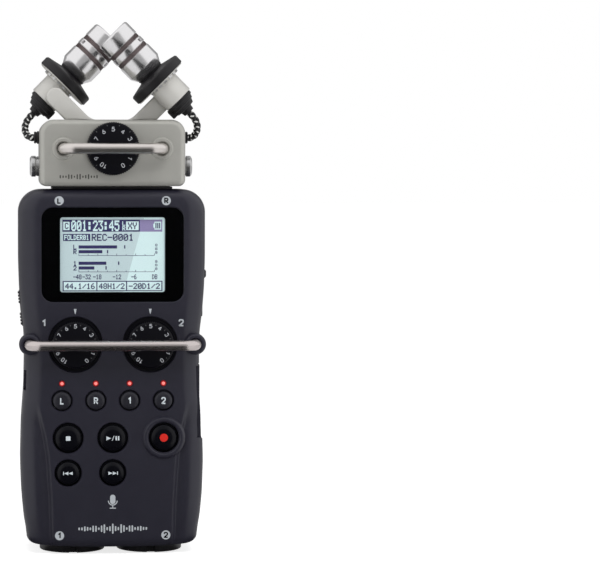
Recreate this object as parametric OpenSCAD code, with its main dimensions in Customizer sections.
// Portable field recorder with a detachable crossed-pair microphone capsule.
// +X is the viewer's right, the controls face -Y, +Z is up.
// The origin is the middle of the footprint, on the plane of the two jack rims it stands on.

/* [Recorder body] */
// Width of the body at the display
body_w = 66.8; // [66.4:0.1:67.6]
// Height of the top face above the jack rims
body_top = 129.1; // [129:0.1:129.1]
// Thickness of the casing walls at the front and the back
wall = 2.2; // [2:0.1:2.2]
// Radius of the body's two top corners, seen from the front
top_corner_r = 8.2; // [7:0.1:9]

/* [Display] */
// Width of the glossy window
lens_w = 50.4; // [48:0.1:51]
// Height of the glossy window
lens_h = 33.4; // [32:0.1:34]
// Height of the window's centre above the jack rims
lens_z = 105.9; // [105:0.1:106]

/* [Controls] */
// Radius of the two gain knobs
gain_r = 8.35; // [7.5:0.05:8.5]
// Distance of each gain knob from the centre line
gain_x = 13.35; // [13.2:0.05:13.5]
// Height of the gain knobs and of the body guard bar
gain_z = 74; // [73.8:0.1:74.2]
// How far a key travels
key_travel = 0.5; // [0.3:0.1:0.5]
// Radius of the stop, play and record keys
big_key_r = 5.2; // [4.8:0.1:5.2]
// Radius of the rewind and forward keys
small_key_r = 4.55; // [4.2:0.05:4.6]
// Radius of the four track keys
track_key_r = 3.45; // [3:0.05:3.5]

/* [Guard bars] */
// Diameter of both guard bars
bar_d = 3.8; // [3.4:0.1:3.8]
// Distance between the legs of the body guard bar
body_bar_span = 59; // [58.6:0.1:59.2]
// Distance between the legs of the capsule guard bar
capsule_bar_span = 35; // [34.8:0.1:35.2]

/* [Combo jacks] */
// Distance of each jack from the centre line
jack_x = 14; // [13.8:0.1:14.2]
// Radius of a jack's rim
jack_rim_r = 11.75; // [11.6:0.05:11.8]

/* [Microphone capsule] */
// Width of the capsule housing
capsule_w = 51.7; // [51.4:0.1:52]
// Height of the capsule housing
capsule_h = 23.6; // [23.4:0.1:23.8]
// Radius of the chrome microphone barrels
barrel_r = 6.7; // [6.2:0.1:6.8]
// Radius of the rubber flanges
flange_r = 10.85; // [10:0.05:11]

/* [Hidden] */
$fn = 64;
gap = 0.1;            // clearance between fitted pieces
stand = 1.5;          // how far the jack rims reach below zero; the assembly is raised by it

// Casing
front_y = -12;
back_y = 21.5;
parting_y = 5;
cavity_x = 28.4;
cavity_z = [6, 126.4];
inner_front = front_y + wall;
inner_back = back_y - wall;
edge_r = 7;           // roll-off of the casing's long edges
// Height and half width of the flank, from the bottom to the display
FLANK = [[5.5, 30.8], [11, 31.6], [20, 32.5], [32, 32.9], [46, 32.5], [58, 31.6],
         [70, 31.35], [78, 31.5], [85, 32.4], [94, 33.1], [104, 33.4]];
flank_scale = body_w / 66.8;
ear_r = 3.8;
SCREWS = [[0, 9], [-26, 36.5], [26, 36.5], [-26, 121.5], [26, 121.5]];
post_r = 2.6;

// Board stack behind the front wall
board_y = [-6.3, -5.1];
switch_y = [-7.6, board_y[0] - 0.05];
well_r = 9.8;
well_depth = 1.1;
stem_r = 2;

// Keys: x, z, radius
TRACK_X = [-18.08, -6.03, 6.03, 18.08];
track_z = 54;
lamp_z = 60.1;
STOP = [-15.9, 40.6, big_key_r];
PLAY = [0, 40.6, big_key_r];
RECORD = [18.2, 40.7, big_key_r];
REWIND = [-15.9, 28.1, small_key_r];
FORWARD = [0, 28.1, small_key_r];
TRACKS = [for (x = TRACK_X) [x, track_z, track_key_r]];
KEYS = concat(TRACKS, [STOP, PLAY, RECORD, REWIND, FORWARD]);
key_clear = 0.2;

// Side controls and sockets
side_y = -1.8;
slider_z = 86.6;
slider_tilt = 5.4;    // the flank leans out towards the top here
slider_x = -32.15;
menu_z = 86.4;
lever_z = 98.8;
lever_x = 26;
volume = [-26.2, -2.4, 101.5];
volume_r = 6.9;
phones_z = 112.5;
remote_z = 46;
usb_z = 61.1;
card_z = 53;
door_axis = [30.8, 1.0];
door_z = [39.7, 66.5];

// Jacks, battery and back
jack_y = 5.5;
jack_body_r = 10.4;
cell_r = 7.25;
cell_l = 50.5;
cell_x = 7.4;
cell_y = 11.5;
cover_x = 17.1;
cover_z = [34.4, 92.4];
speaker_z = 115.5;
speaker_r = 8.5;
tripod_z = 100;
tripod_thread_r = 3.175;
tripod_depth = 6.5;

// Guard bars
bar_r = bar_d / 2;
bar_bend = 4.5;
body_bar_y = -18.7;
capsule_bar_y = -19.6;
bar_z = gain_z;

// Capsule
neck_top = 137.8;
neck_flange_top = 130.1;
cap_z = 130.2;
cap_top = cap_z + capsule_h;
cap_front = -12.5;
cap_back = 16.5;
cap_wall = 1.8;
cap_mid = (cap_front + cap_back) / 2;
level_z = 143.5;
level_r = 9.45;
release_z = 137.3;
release_r = 3.75;
grommet_z = 147.6;

// Microphones. Each axis leans 45 degrees inwards; mic_p is its offset from the origin along
// the direction (1, 0, 1), and stations along it are measured from the same origin.
mic_p = 130.3;
MIC_Y = [9, -5];      // left microphone behind, right microphone in front
ARM_Y = [-2, 6];
arm_s = [97.3, 103.8];
collar_s = [96.9, 104.6];
collar_r = 5.55;
flange_s = [105.85, 109.15];
barrel_s = [111.4, 130.2];
boot_s = [91, 96.8];
// Route of a microphone lead from its boot to its grommet, as x and z on the right-hand side
LEAD_XZ = [[27.8, 156.3], [28.7, 155.4], [29.7, 154.2], [30.5, 152.6], [30.8, 150.9],
           [30.5, 149.3], [29.7, 148.1], [28.7, 147.6], [27.8, 147.6]];
lead_r = 1.3;

// ---------------------------------------------------------------- helpers

// A box given by its two ends on each axis
module block(x, y, z) {
    translate([x[0], y[0], z[0]])
        cube([x[1] - x[0], y[1] - y[0], z[1] - z[0]]);
}

// Cylinders along each axis, from the first to the second value
module along_x(y, z, x, r) {
    translate([x[0], y, z]) rotate([0, 90, 0]) cylinder(r = r, h = x[1] - x[0]);
}

module along_y(x, z, y, r) {
    translate([x, y[1], z]) rotate([90, 0, 0]) cylinder(r = r, h = y[1] - y[0]);
}

module along_z(x, y, z, r) {
    translate([x, y, z[0]]) cylinder(r = r, h = z[1] - z[0]);
}

// Points of an arc about [cx, cy]
function arc(cx, cy, r, a0, a1, n = 6) =
    [for (i = [0 : n]) let (a = a0 + (a1 - a0) * i / n) [cx + r * cos(a), cy + r * sin(a)]];

// A rectangle with its own radius on the lower and the upper corners
function rounded(x, y, r_low, r_high) = concat(
    arc(x[1] - r_low, y[0] + r_low, r_low, -90, 0),
    arc(x[1] - r_high, y[1] - r_high, r_high, 0, 90),
    arc(x[0] + r_high, y[1] - r_high, r_high, 90, 180),
    arc(x[0] + r_low, y[0] + r_low, r_low, 180, 270));

// An outline in X and Z, extruded along Y
module slab_y(points, y) {
    translate([0, y[1], 0]) rotate([90, 0, 0]) linear_extrude(y[1] - y[0]) polygon(points);
}

// An outline in Y and Z, extruded along X
module slab_x(points, x) {
    translate([x[0], 0, 0]) rotate([90, 0, 90]) linear_extrude(x[1] - x[0]) polygon(points);
}

// Places its children about a microphone's axis: local Z runs along it, side is -1 or 1
module on_mic_axis(side) {
    mirror([side < 0 ? 1 : 0, 0, 0])
        rotate([0, -45, 0])
            translate([mic_p, MIC_Y[side < 0 ? 0 : 1], 0])
                children();
}

// ---------------------------------------------------------------- casing

function half_outline() = concat(
    [[0, 1.2], [18, 1.5], [27.4, 2.2]],
    arc(28.3, 4.9, 2.5, -80, -20, 3),
    [for (p = FLANK) [p[1] * flank_scale, p[0]]],
    arc(body_w / 2 - top_corner_r, body_top - top_corner_r, top_corner_r, 0, 90, 8));

function case_outline() = let (half = half_outline(), n = len(half))
    concat(half, [for (i = [n - 1 : -1 : 1]) [-half[i][0], half[i][1]]]);

module case_solid() {
    w = body_w / 2 + 0.01;
    intersection() {
        slab_y(case_outline(), [front_y, back_y]);
        slab_x(rounded([front_y, back_y], [1.1, body_top + 0.01], 3, 3.5), [-w, w]);
        linear_extrude(body_top + 1) polygon(rounded([-w, w], [front_y, back_y], edge_r, edge_r + 1));
    }
}

module side_cuts() {
    // Left: slider bed and slot, USB, jacks, volume dial
    translate([slider_x, side_y, slider_z]) rotate([0, -slider_tilt, 0]) {
        block([-4, 0.7], [-3.3, 3.3], [-9, 9]);
        block([-1, 6], [-1.2, 1.2], [-3.4, 3.4]);
    }
    block([-34, -28], [side_y - 2, side_y + 2], [usb_z - 3.6, usb_z + 3.6]);
    along_x(side_y, phones_z, [-34, -28], 3.0);
    along_x(side_y, remote_z, [-34, -28], 2.5);
    block([-34, -28], [volume[1] - 1.4, volume[1] + 1.4], [volume[2] - 5.5, volume[2] + 5.5]);
    block([-31, -28], [volume[1] - 1.4, volume[1] + 1.4], [volume[2] - 6.9, volume[2] + 6.9]);
    // Right: scroll lever, menu button, card door
    block([28, 34], [side_y - 2.9, side_y + 2.9], [lever_z - 3.1, lever_z + 3.2]);
    block([28, 34], [side_y - 2.2, side_y + 2.2], [menu_z - 3.3, menu_z + 3.3]);
    block([30, 34], [-7.6, door_axis[1] + 0.9], [door_z[0] - 0.3, door_z[1] + 0.3]);
    block([28, 30.5], [-4.4, -1.7], [card_z - 12.3, card_z + 12.3]);
}

module front_cuts() {
    slab_y(rounded([-lens_w / 2 - gap, lens_w / 2 + gap],
                   [lens_z - lens_h / 2 - gap, lens_z + lens_h / 2 + gap], 4.1, 4.1),
           [front_y - 1, front_y + 1.3]);
    block([-19.3, 19.3], [front_y, 0], [lens_z - 14.1, lens_z + 14.1]);
    for (x = [-gain_x, gain_x]) {
        along_y(x, gain_z, [front_y - 1, front_y + well_depth], well_r);
        along_y(x, gain_z, [front_y, 0], stem_r + 0.3);
    }
    for (key = KEYS)
        along_y(key[0], key[1], [front_y - 1, 0], key[2] + key_clear);
    for (x = TRACK_X)
        along_y(x, lamp_z, [front_y - 1, 0], 1.1);
}

module jack_holes() {
    for (x = [-jack_x, jack_x])
        along_z(x, jack_y, [0, cavity_z[0] + 0.1], jack_rim_r + 0.2);
}

module front_case() {
    color("#37373b") difference() {
        union() {
            difference() {
                union() {
                    intersection() {
                        case_solid();
                        block([-40, 40], [front_y - 1, parting_y], [0, 140]);
                    }
                    for (x = [-1, 1])
                        along_y(x * body_bar_span / 2, bar_z, [front_y - 0.8, parting_y], ear_r);
                }
                block([-cavity_x, cavity_x], [inner_front, parting_y + 1], cavity_z);
            }
            for (p = SCREWS)
                along_y(p[0], p[1], [inner_front - 0.5, parting_y - 0.05], post_r);
            // Bosses that hold the guard bar's legs
            for (x = [-1, 1])
                along_y(x * body_bar_span / 2, bar_z, [inner_front - 0.5, 0], ear_r - 0.1);
        }
        front_cuts();
        side_cuts();
        jack_holes();
        block([-18.1, 18.1], [-4.1, 8.1], [120, 140]);
        for (x = [-1, 1])
            along_y(x * body_bar_span / 2, bar_z, [front_y - 2, -3.9], bar_r + 0.05);
        for (p = SCREWS)
            along_y(p[0], p[1], [-2, parting_y + 1], 1.1);
    }
}

module rear_case() {
    color("#343438") difference() {
        union() {
            difference() {
                intersection() {
                    case_solid();
                    block([-40, 40], [parting_y + 0.02, back_y + 1], [0, 140]);
                }
                block([-cavity_x, cavity_x], [parting_y - 1, inner_back], cavity_z);
            }
            for (p = SCREWS)
                along_y(p[0], p[1], [parting_y + 0.05, inner_back + 0.5], post_r);
            along_y(0, tripod_z, [11, inner_back + 0.5], 6.6);
        }
        jack_holes();
        block([-18.1, 18.1], [-4.1, 8.1], [120, 140]);
        block([-cover_x - 0.15, cover_x + 0.15], [inner_back - 1, back_y + 1],
              [cover_z[0] - 0.15, cover_z[1] + 0.15]);
        along_y(0, tripod_z, [12.4, back_y + 1], 5.1);
        for (i = [-2 : 2])
            block([-6, 6], [inner_back - 1, back_y + 1],
                  [speaker_z + i * 2.6 - 0.6, speaker_z + i * 2.6 + 0.6]);
        for (p = SCREWS) {
            along_y(p[0], p[1], [0, back_y + 1], 1.15);
            along_y(p[0], p[1], [inner_back + 0.1, back_y + 1], 2.1);
        }
    }
}

module case_screws() {
    color("#2a2a2c") for (p = SCREWS) {
        along_y(p[0], p[1], [0, inner_back + 0.3], 1);
        difference() {
            along_y(p[0], p[1], [inner_back + 0.2, inner_back + 1.6], 1.9);
            for (a = [0, 90])
                translate([p[0], inner_back + 1.4, p[1]]) rotate([0, a, 0])
                    cube([2.2, 1.4, 0.45], center = true);
        }
    }
}

// ---------------------------------------------------------------- display and board

module display_lens() {
    color("#050507")
        slab_y(rounded([-lens_w / 2, lens_w / 2],
                       [lens_z - lens_h / 2, lens_z + lens_h / 2], 4, 4),
               [front_y, front_y + 1.2]);
}

module lcd_panel() {
    color("#b9cbd2") block([-22, 22], [inner_front + gap, board_y[0] - 0.2], [lens_z - 17.4, lens_z + 17.4]);
}

module led_light_pipes() {
    color("#d8484a") for (x = TRACK_X)
        along_y(x, lamp_z, [front_y - 0.1, switch_y[0]], 1);
}

module main_board() {
    color("#1f5a3a") block([-23, 23], board_y, [22, 124]);
}

module gain_pots() {
    color("#8d8f92") for (x = [-gain_x, gain_x]) difference() {
        along_y(x, gain_z, [inner_front + 0.6, board_y[0] - 0.05], 5.5);
        along_y(x, gain_z, [inner_front - 1, 0], stem_r + 0.05);
    }
}

module key_switches() {
    color("#c9c9cc") for (key = KEYS)
        along_y(key[0], key[1], switch_y, 2.4);
}

// ---------------------------------------------------------------- controls on the front

// A knob: skirt against the well's floor, turned grip, moulded stem into the pot
module knob(x, z, y_front, y_base, y_stem, r) {
    along_y(x, z, [y_front, y_front + 0.5], r - 0.45);
    along_y(x, z, [y_front + 0.5, y_base], r);
    along_y(x, z, [y_base - 0.1, y_stem], stem_r);
}

module gain_knob(side) {
    color("#111113")
        knob(side * gain_x, gain_z, front_y - 3.2, front_y + well_depth - gap,
             board_y[0] - 0.3, gain_r);
}

// A key: shallow crowned cap, flange behind the wall, stem to its switch
module key(spec) {
    x = spec[0];
    z = spec[1];
    r = spec[2];
    along_y(x, z, [front_y - 0.6, front_y - 0.3], r - 0.5);
    along_y(x, z, [front_y - 0.3, inner_front + gap + 0.1], r);
    along_y(x, z, [inner_front + gap, inner_front + gap + 0.8], r + 0.7);
    along_y(x, z, [inner_front + gap + 0.7, switch_y[0] - key_travel - gap], 1.5);
}

module track_key(i) {
    color("#1b1b20") key(TRACKS[i]);
}

module body_guard_bar() {
    color("#b9b2ac") guard_bar(body_bar_span, bar_z, body_bar_y, -4);
}

// A round bar across the front with a bend and a leg at each end
module guard_bar(span, z, y, y_leg) {
    straight = span / 2 - bar_bend;
    along_x(y, z, [-straight, straight], bar_r);
    for (side = [-1, 1]) {
        translate([side * straight, y + bar_bend, z])
            mirror([side < 0 ? 1 : 0, 0, 0])
                rotate([0, 0, -90]) rotate_extrude(angle = 90)
                    translate([bar_bend, 0]) circle(r = bar_r);
        along_y(side * span / 2, z, [y + bar_bend, y_leg], bar_r);
    }
}

// ---------------------------------------------------------------- controls on the sides

module power_slider() {
    color("#232327")
        translate([slider_x, side_y, slider_z]) rotate([0, -slider_tilt, 0]) {
            block([-0.6, 0.6], [-3.1, 3.1], [-6.4, 6.4]);
            for (end = [-1, 1]) for (i = [0 : 2]) let (z = end * (5.9 - i * 1.2))
                block([-0.9, -0.5], [-3.1, 3.1], [z - 0.35, z + 0.35]);
            block([0.5, 5.5], [-1, 1], [-1, 1]);
        }
}

module scroll_lever() {
    color("#141417") {
        along_y(lever_x, lever_z, [side_y - 2.6, side_y + 2.6], 1.4);
        block([lever_x, 33.9], [side_y - 2.6, side_y + 2.6], [lever_z - 0.8, lever_z + 0.8]);
    }
}

module menu_button() {
    color("#1c1c20") {
        block([28.2, 32.75], [side_y - 2, side_y + 2], [menu_z - 3.1, menu_z + 3.1]);
        block([27.4, 28.25], [side_y - 2.7, side_y + 2.7], [menu_z - 3.8, menu_z + 3.8]);
    }
}

module volume_dial() {
    color("#1c1c20") difference() {
        union() {
            along_y(volume[0], volume[2], [volume[1] - 1.2, volume[1] + 1.2], volume_r);
            along_y(volume[0], volume[2], [board_y[1] + 0.1, volume[1] + 1.9], 2);
        }
        for (i = [0 : 23]) rotate_about(volume, i * 15)
            translate([volume[0] - volume_r, volume[1], volume[2]])
                cube([0.6, 3, 0.7], center = true);
    }
}

// Turns its children about a line along Y through a point
module rotate_about(point, angle) {
    translate(point) rotate([0, angle, 0]) translate(-point) children();
}

module sd_door() {
    color("#1a1a1d") {
        block([door_axis[0] - 0.6, door_axis[0] + 0.6], [-7.4, door_axis[1]], door_z);
        along_z(door_axis[0], door_axis[1], door_z, 0.6);
    }
}

// ---------------------------------------------------------------- sockets, battery and back

module audio_jacks() {
    color("#26262a") {
        side_jack(phones_z, 33.1, 2.9, 1.8, 13);
        side_jack(remote_z, 32.2, 2.4, 1.3, 11);
    }
}

// A round jack on the left side with a blind bore that opens at x_mouth
module side_jack(z, x_mouth, r, bore_r, depth) {
    difference() {
        union() {
            along_x(side_y, z, [-x_mouth, -27], r);
            block([-28, -x_mouth + depth + 1.2], [board_y[1] + 0.1, side_y + 3], [z - 3.1, z + 3.1]);
        }
        along_x(side_y, z, [-x_mouth - 1, -x_mouth + depth], bore_r);
    }
}

module usb_socket() {
    color("#c6c8ca") difference() {
        block([-30.9, -22.6], [side_y - 1.9, side_y + 1.9], [usb_z - 3.5, usb_z + 3.5]);
        difference() {
            block([-32, -24], [side_y - 1.5, side_y + 1.5], [usb_z - 3.1, usb_z + 3.1]);
            block([-29.5, -24], [side_y - 0.4, side_y + 0.4], [usb_z - 2.2, usb_z + 2.2]);
        }
    }
}

module sd_socket() {
    color("#b9bbbe") difference() {
        block([-2.6, 28.1], [board_y[1] + 0.05, -1.2], [card_z - 12.9, card_z + 12.9]);
        block([-1.5, 29], [-4.3, -1.8], [card_z - 12.15, card_z + 12.15]);
    }
}

module sd_card() {
    color("#2d3f74") block([-1.3, 29.7], [-4.1, -2], [card_z - 12, card_z + 12]);
}

// A combo jack: rim and barrel, annular gap for the plug's shell, core with sockets
module combo_jack(side) {
    x = side * jack_x;
    color("#1e1e21") difference() {
        union() {
            along_z(x, jack_y, [-stand, 4], jack_rim_r);
            along_z(x, jack_y, [3.9, 32], jack_body_r);
        }
        difference() {
            along_z(x, jack_y, [-stand - 1, 17], 9.6);
            along_z(x, jack_y, [0.4, 18], 7.7);
        }
        along_z(x, jack_y, [-stand - 1, 29.5], 3.2);
        for (a = [30, 150, 270])
            along_z(x + 5.4 * cos(a), jack_y + 5.4 * sin(a), [-1, 14], 1.3);
        block([x - 1.4, x + 1.4], [jack_y - jack_rim_r - 1, jack_y - jack_body_r - 0.05], [-stand - 1, 5]);
    }
}

module combo_latch(side) {
    x = side * jack_x;
    color("#3a3a3e")
        block([x - 1.25, x + 1.25], [jack_y - 11.65, jack_y - jack_body_r - 0.2], [1, 14]);
}

module battery_tray() {
    color("#2b2b2e") difference() {
        block([-cover_x - 0.1, cover_x + 0.1], [3, inner_back - 0.2], [35.5, 91.5]);
        block([-16, 16], [4, 30], [36.5, 90.5]);
    }
}

module battery_cells() {
    for (side = [-1, 1])
        color("#5f7f9f") {
            along_z(side * cell_x, cell_y, [38.4, 38.4 + cell_l - 1.5], cell_r - 0.05);
            along_z(side * cell_x, cell_y,
                    side < 0 ? [38.4 + cell_l - 1.6, 38.4 + cell_l] : [36.9 + cell_l, 38.4 + cell_l], 2.7);
        }
}

module battery_contacts() {
    color("#d0d2d4") for (side = [-1, 1]) {
        block([side * cell_x - 4.5, side * cell_x + 4.5], [7.5, 15.5], [89.6, 90.1]);
        block([side * cell_x - 4.5, side * cell_x + 4.5], [7.5, 15.5], [36.7, 37.2]);
        along_z(side * cell_x, cell_y, [37.15, 38.3], 2.5);
    }
}

module battery_cover() {
    color("#343438") difference() {
        block([-cover_x, cover_x], [inner_back + 0.2, back_y], cover_z);
        for (i = [0 : 3])
            block([-6, 6], [back_y - 0.5, back_y + 1], [84 + i * 1.8, 84.8 + i * 1.8]);
    }
}

module speaker_driver() {
    color("#3c3c40") {
        along_y(0, speaker_z, [16.8, inner_back - 0.15], speaker_r);
        along_y(0, speaker_z, [14.4, 16.9], 5.5);
    }
}

module tripod_insert() {
    color("#b99a55") difference() {
        along_y(0, tripod_z, [12.6, back_y - gap], 5);
        along_y(0, tripod_z, [back_y - gap - tripod_depth, back_y + 1], tripod_thread_r);
    }
}

// ---------------------------------------------------------------- neck between body and capsule

module neck_boss() {
    color("#131315") difference() {
        union() {
            block([-21.4, 21.4], [cap_mid - 11, cap_mid + 11], [body_top + 0.05, neck_flange_top]);
            block([-20, 20], [cap_mid - 8, cap_mid + 8], [neck_flange_top - 0.1, neck_top]);
            block([-18, 18], [cap_mid - 6, cap_mid + 6], [124.6, body_top + 0.1]);
        }
        block([-10.6, 10.6], [cap_mid - 3.6, cap_mid + 3.6], [131, neck_top + 1]);
    }
}

module unit_connector() {
    color("#c9b46a") difference() {
        block([-10.4, 10.4], [cap_mid - 3.4, cap_mid + 3.4], [131.1, neck_top - 0.1]);
        block([-9.4, 9.4], [cap_mid - 2.3, cap_mid + 2.3], [132.6, neck_top + 1]);
    }
}

// ---------------------------------------------------------------- capsule

module capsule_housing() {
    w = capsule_w / 2;
    color("#9e9e99") difference() {
        union() {
            intersection() {
                slab_y(rounded([-w, w], [cap_z, cap_top], 2.4, 5), [cap_front, cap_back]);
                slab_x(rounded([cap_front, cap_back], [cap_z, cap_top], 2, 2.6), [-w, w]);
                translate([0, 0, cap_z - 1]) linear_extrude(capsule_h + 2)
                    polygon(rounded([-w, w], [cap_front, cap_back], 3, 3));
            }
            for (side = [-1, 1])
                along_y(side * capsule_bar_span / 2, level_z, [cap_front - 0.5, cap_front + 0.5], ear_r);
        }
        block([-w + cap_wall, w - cap_wall], [cap_front + cap_wall, cap_back - cap_wall],
              [cap_z - 1, cap_top - cap_wall]);
        for (side = [-1, 1]) {
            along_y(side * capsule_bar_span / 2, level_z, [cap_front - 1, 0], bar_r + 0.05);
            along_x(cap_mid, release_z, side < 0 ? [-w - 1, -w + 2.5] : [w - 2.5, w + 1],
                    release_r + 0.15);
            along_x(cap_mid, grommet_z, side < 0 ? [-w - 1, -w + 2.5] : [w - 2.5, w + 1], 1.6);
        }
        along_y(0, level_z, [cap_front - 1, 0], stem_r + 0.3);
    }
}

module capsule_base() {
    w = capsule_w / 2 - cap_wall - gap;
    color("#1c1c1e") difference() {
        union() {
            block([-w, w], [cap_front + cap_wall + gap, cap_back - cap_wall - gap],
                  [cap_z + 0.1, cap_z + 1.9]);
            block([-21, 21], [cap_mid - 9, cap_mid + 9], [cap_z + 0.2, 139.6]);
        }
        block([-20.2, 20.2], [cap_mid - 8.2, cap_mid + 8.2], [cap_z - 1, neck_top + 0.4]);
        block([-9.1, 9.1], [cap_mid - 2.1, cap_mid + 2.1], [130, 145]);
    }
}

module capsule_plug() {
    color("#26262a") {
        block([-8.9, 8.9], [cap_mid - 1.9, cap_mid + 1.9], [133.4, 139.8]);
        block([-11, 11], [cap_mid - 3.6, cap_mid + 3.6], [139.7, 142.4]);
    }
}

module capsule_guard_bar() {
    color("#b9b2ac") guard_bar(capsule_bar_span, level_z, capsule_bar_y, -9.6);
}

module level_pot() {
    color("#8d8f92") difference() {
        along_y(0, level_z, [cap_front + cap_wall + gap, -7.3], 4.8);
        along_y(0, level_z, [cap_front, 0], stem_r + 0.05);
    }
}

module level_knob() {
    color("#111113")
        knob(0, level_z, cap_front - 3.3, cap_front - gap, -7.6, level_r);
}

module release_button(side) {
    w = capsule_w / 2;
    inner = w - cap_wall - 0.1;
    color("#a9a9a8") mirror([side < 0 ? 1 : 0, 0, 0]) {
        along_x(cap_mid, release_z, [inner - 0.1, w + 2.8], release_r);
        along_x(cap_mid, release_z, [w + 2.7, w + 3.3], release_r - 0.5);
        block([inner - 0.9, inner], [cap_mid - 4.6, cap_mid + 4.6], [132.4, release_z + 4.4]);
    }
}

module cable_grommets() {
    color("#17171a") for (side = [-1, 1]) mirror([side < 0 ? 1 : 0, 0, 0]) {
        along_x(cap_mid, grommet_z, [capsule_w / 2 + 0.05, capsule_w / 2 + 1.8], 2.15);
        along_x(cap_mid, grommet_z, [capsule_w / 2 - 2.4, capsule_w / 2 + 0.1], 1.5);
    }
}

// ---------------------------------------------------------------- microphones

// Outline of an arm in X and Z: a 45 degree strut with a rounded end and a filleted foot
function arm_outline() = let (
        z0 = cap_top + 0.05,
        q = sqrt(2),
        inner = z0 - arm_s[1] * q,
        outer = z0 - arm_s[0] * q,
        fillet = 6,
        tangent = fillet * tan(22.5),
        end_r = (arm_s[1] - arm_s[0]) / 2,
        end_p = mic_p - 1.5,
        mid_s = (arm_s[0] + arm_s[1]) / 2,
        end_x = (end_p - mid_s) / q,
        end_z = (end_p + mid_s) / q)
    concat(
        arc(inner - tangent, z0 + fillet, fillet, -90, -45, 4),
        arc(end_x, end_z, end_r, 135, -45, 10),
        [[outer, z0]]);

module mic_arm(side) {
    color("#b7b6b2") difference() {
        union() {
            mirror([side < 0 ? 1 : 0, 0, 0]) slab_y(arm_outline(), ARM_Y);
            on_mic_axis(side) {
                along_z(0.5, 0, collar_s, collar_r);
                along_z(1.2, 0, [collar_s[1] - 0.1, collar_s[1] + 0.9], 6.3);
                along_z(0, 0, [collar_s[1] + 0.8, flange_s[0] - 0.05], 10.3);
            }
        }
        on_mic_axis(side) along_z(0, 0, [collar_s[0] - 1, flange_s[0] + 1], 2.5);
    }
}

// Rubber flange with a domed face and the ring that carries the barrel
module shock_mounts() {
    color("#151517") for (side = [-1, 1]) on_mic_axis(side)
        rotate_extrude() polygon([
            [0, flange_s[0]], [flange_r - 0.5, flange_s[0]], [flange_r, flange_s[0] + 0.5],
            [flange_r, flange_s[1] - 0.5], [flange_r - 0.5, flange_s[1]], [5.4, flange_s[1] + 1.1],
            [4.9, flange_s[1] + 1.4], [5.25, flange_s[1] + 1.7], [5.25, barrel_s[0] - 0.05],
            [0, barrel_s[0] - 0.05]]);
}

module mic_barrel(side) {
    s0 = barrel_s[0];
    s1 = barrel_s[1];
    r = barrel_r;
    tip = 1.5;
    slot = 0.5;
    color("#cfd0d2") on_mic_axis(side) difference() {
        rotate_extrude() polygon(concat(
            [[0, s0], [r - 1.4, s0], [r, s0 + 2.5],
             [r, s1 - 11.2], [r - slot, s1 - 11.2], [r - slot, s1 - 9.5], [r, s1 - 9.5],
             [r, s1 - 7.2], [r - slot, s1 - 7.2], [r - slot, s1 - 5.5], [r, s1 - 5.5]],
            arc(r - tip, s1 - tip, tip, 0, 90, 6),
            [[0, s1]]));
        along_z(0, 0, [s0 + 2.4, s1 - 1.2], r - 1.2);
    }
}

module mic_elements() {
    color("#6b6b70") for (side = [-1, 1]) on_mic_axis(side)
        along_z(0, 0, [barrel_s[0] + 2.6, barrel_s[1] - 2], barrel_r - 1.5);
}

module mic_boots() {
    color("#17171a") for (side = [-1, 1]) on_mic_axis(side)
        rotate_extrude() polygon([
            [0, boot_s[0] + 0.1], [2, boot_s[0] + 0.1], [2.2, boot_s[0] + 1.6], [4, boot_s[0] + 2],
            [5.1, boot_s[0] + 4], [5.5, boot_s[1]], [0, boot_s[1]]]);
}

// Points of a lead: x and z from its route, y easing from the boot to the grommet
function lead_points(side) = let (n = len(LEAD_XZ) - 1, y0 = MIC_Y[side < 0 ? 0 : 1])
    [for (i = [0 : n]) let (t = min(max((i - 1) / (n - 2), 0), 1), ease = (1 - cos(180 * t)) / 2)
        [side * LEAD_XZ[i][0], y0 + (cap_mid - y0) * ease, LEAD_XZ[i][1]]];

function unit(v) = v / norm(v);

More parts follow.
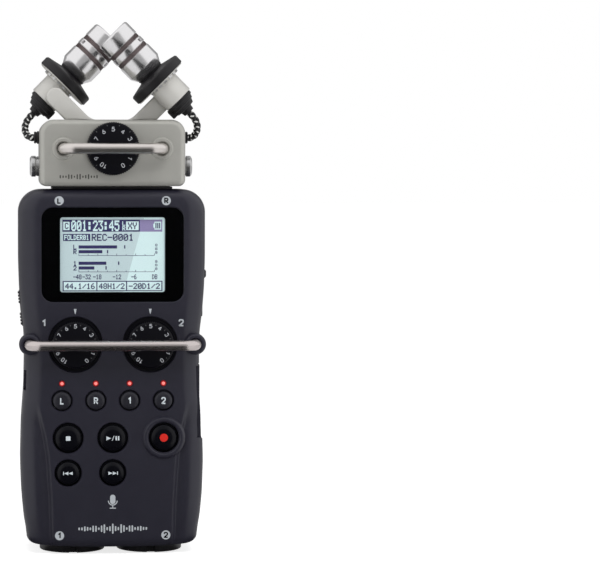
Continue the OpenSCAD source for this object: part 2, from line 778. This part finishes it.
// A tube of 8 sides swept along points, closed at both ends
module lead(points, r) {
    sides = 8;
    n = len(points);
    rings = [for (i = [0 : n - 1])
        let (t = unit(points[min(i + 1, n - 1)] - points[max(i - 1, 0)]),
             u = unit(cross(t, [0, 1, 0])),
             v = cross(t, u))
        for (k = [0 : sides - 1])
            points[i] + r * (cos(360 * k / sides) * u + sin(360 * k / sides) * v)];
    faces = concat(
        [[for (k = [0 : sides - 1]) k]],
        [for (i = [0 : n - 2]) for (k = [0 : sides - 1])
            [i * sides + k, (i + 1) * sides + k, (i + 1) * sides + (k + 1) % sides]],
        [for (i = [0 : n - 2]) for (k = [0 : sides - 1])
            [i * sides + k, (i + 1) * sides + (k + 1) % sides, i * sides + (k + 1) % sides]],
        [[for (k = [sides - 1 : -1 : 0]) (n - 1) * sides + k]]);
    polyhedron(rings, faces);
}

module mic_cables() {
    color("#2a2a2d") for (side = [-1, 1]) lead(lead_points(side), lead_r);
}

// ---------------------------------------------------------------- assembly

translate([0, 0, stand]) {
    front_case();
    rear_case();
    neck_boss();
    unit_connector();
    display_lens();
    lcd_panel();
    led_light_pipes();
    body_guard_bar();
    main_board();
    gain_pots();
    key_switches();
    combo_jack(-1);  // combo_jack_1
    combo_jack(1);  // combo_jack_2
    battery_tray();
    battery_cells();
    battery_contacts();
    speaker_driver();
    tripod_insert();
    audio_jacks();
    usb_socket();
    sd_socket();
    sd_card();
    case_screws();
    gain_knob(-1);  // gain_knob_1
    gain_knob(1);  // gain_knob_2
    track_key(0);  // track_key_left
    track_key(1);  // track_key_right
    track_key(2);  // track_key_1
    track_key(3);  // track_key_2
    color("#141417") key(STOP);  // stop_key
    color("#141417") key(PLAY);  // play_key
    color("#141417") key(RECORD);  // record_key
    color("#141417") key(REWIND);  // rewind_key
    color("#141417") key(FORWARD);  // forward_key
    power_slider();
    scroll_lever();
    menu_button();
    volume_dial();
    sd_door();
    battery_cover();
    combo_latch(-1);  // combo_latch_1
    combo_latch(1);  // combo_latch_2
    capsule_housing();
    capsule_base();
    capsule_plug();
    capsule_guard_bar();
    level_pot();
    level_knob();
    release_button(-1);  // release_button_left
    release_button(1);  // release_button_right
    cable_grommets();
    mic_arm(-1);  // mic_arm_left
    mic_arm(1);  // mic_arm_right
    shock_mounts();
    mic_barrel(-1);  // mic_barrel_left
    mic_barrel(1);  // mic_barrel_right
    mic_elements();
    mic_boots();
    mic_cables();
}
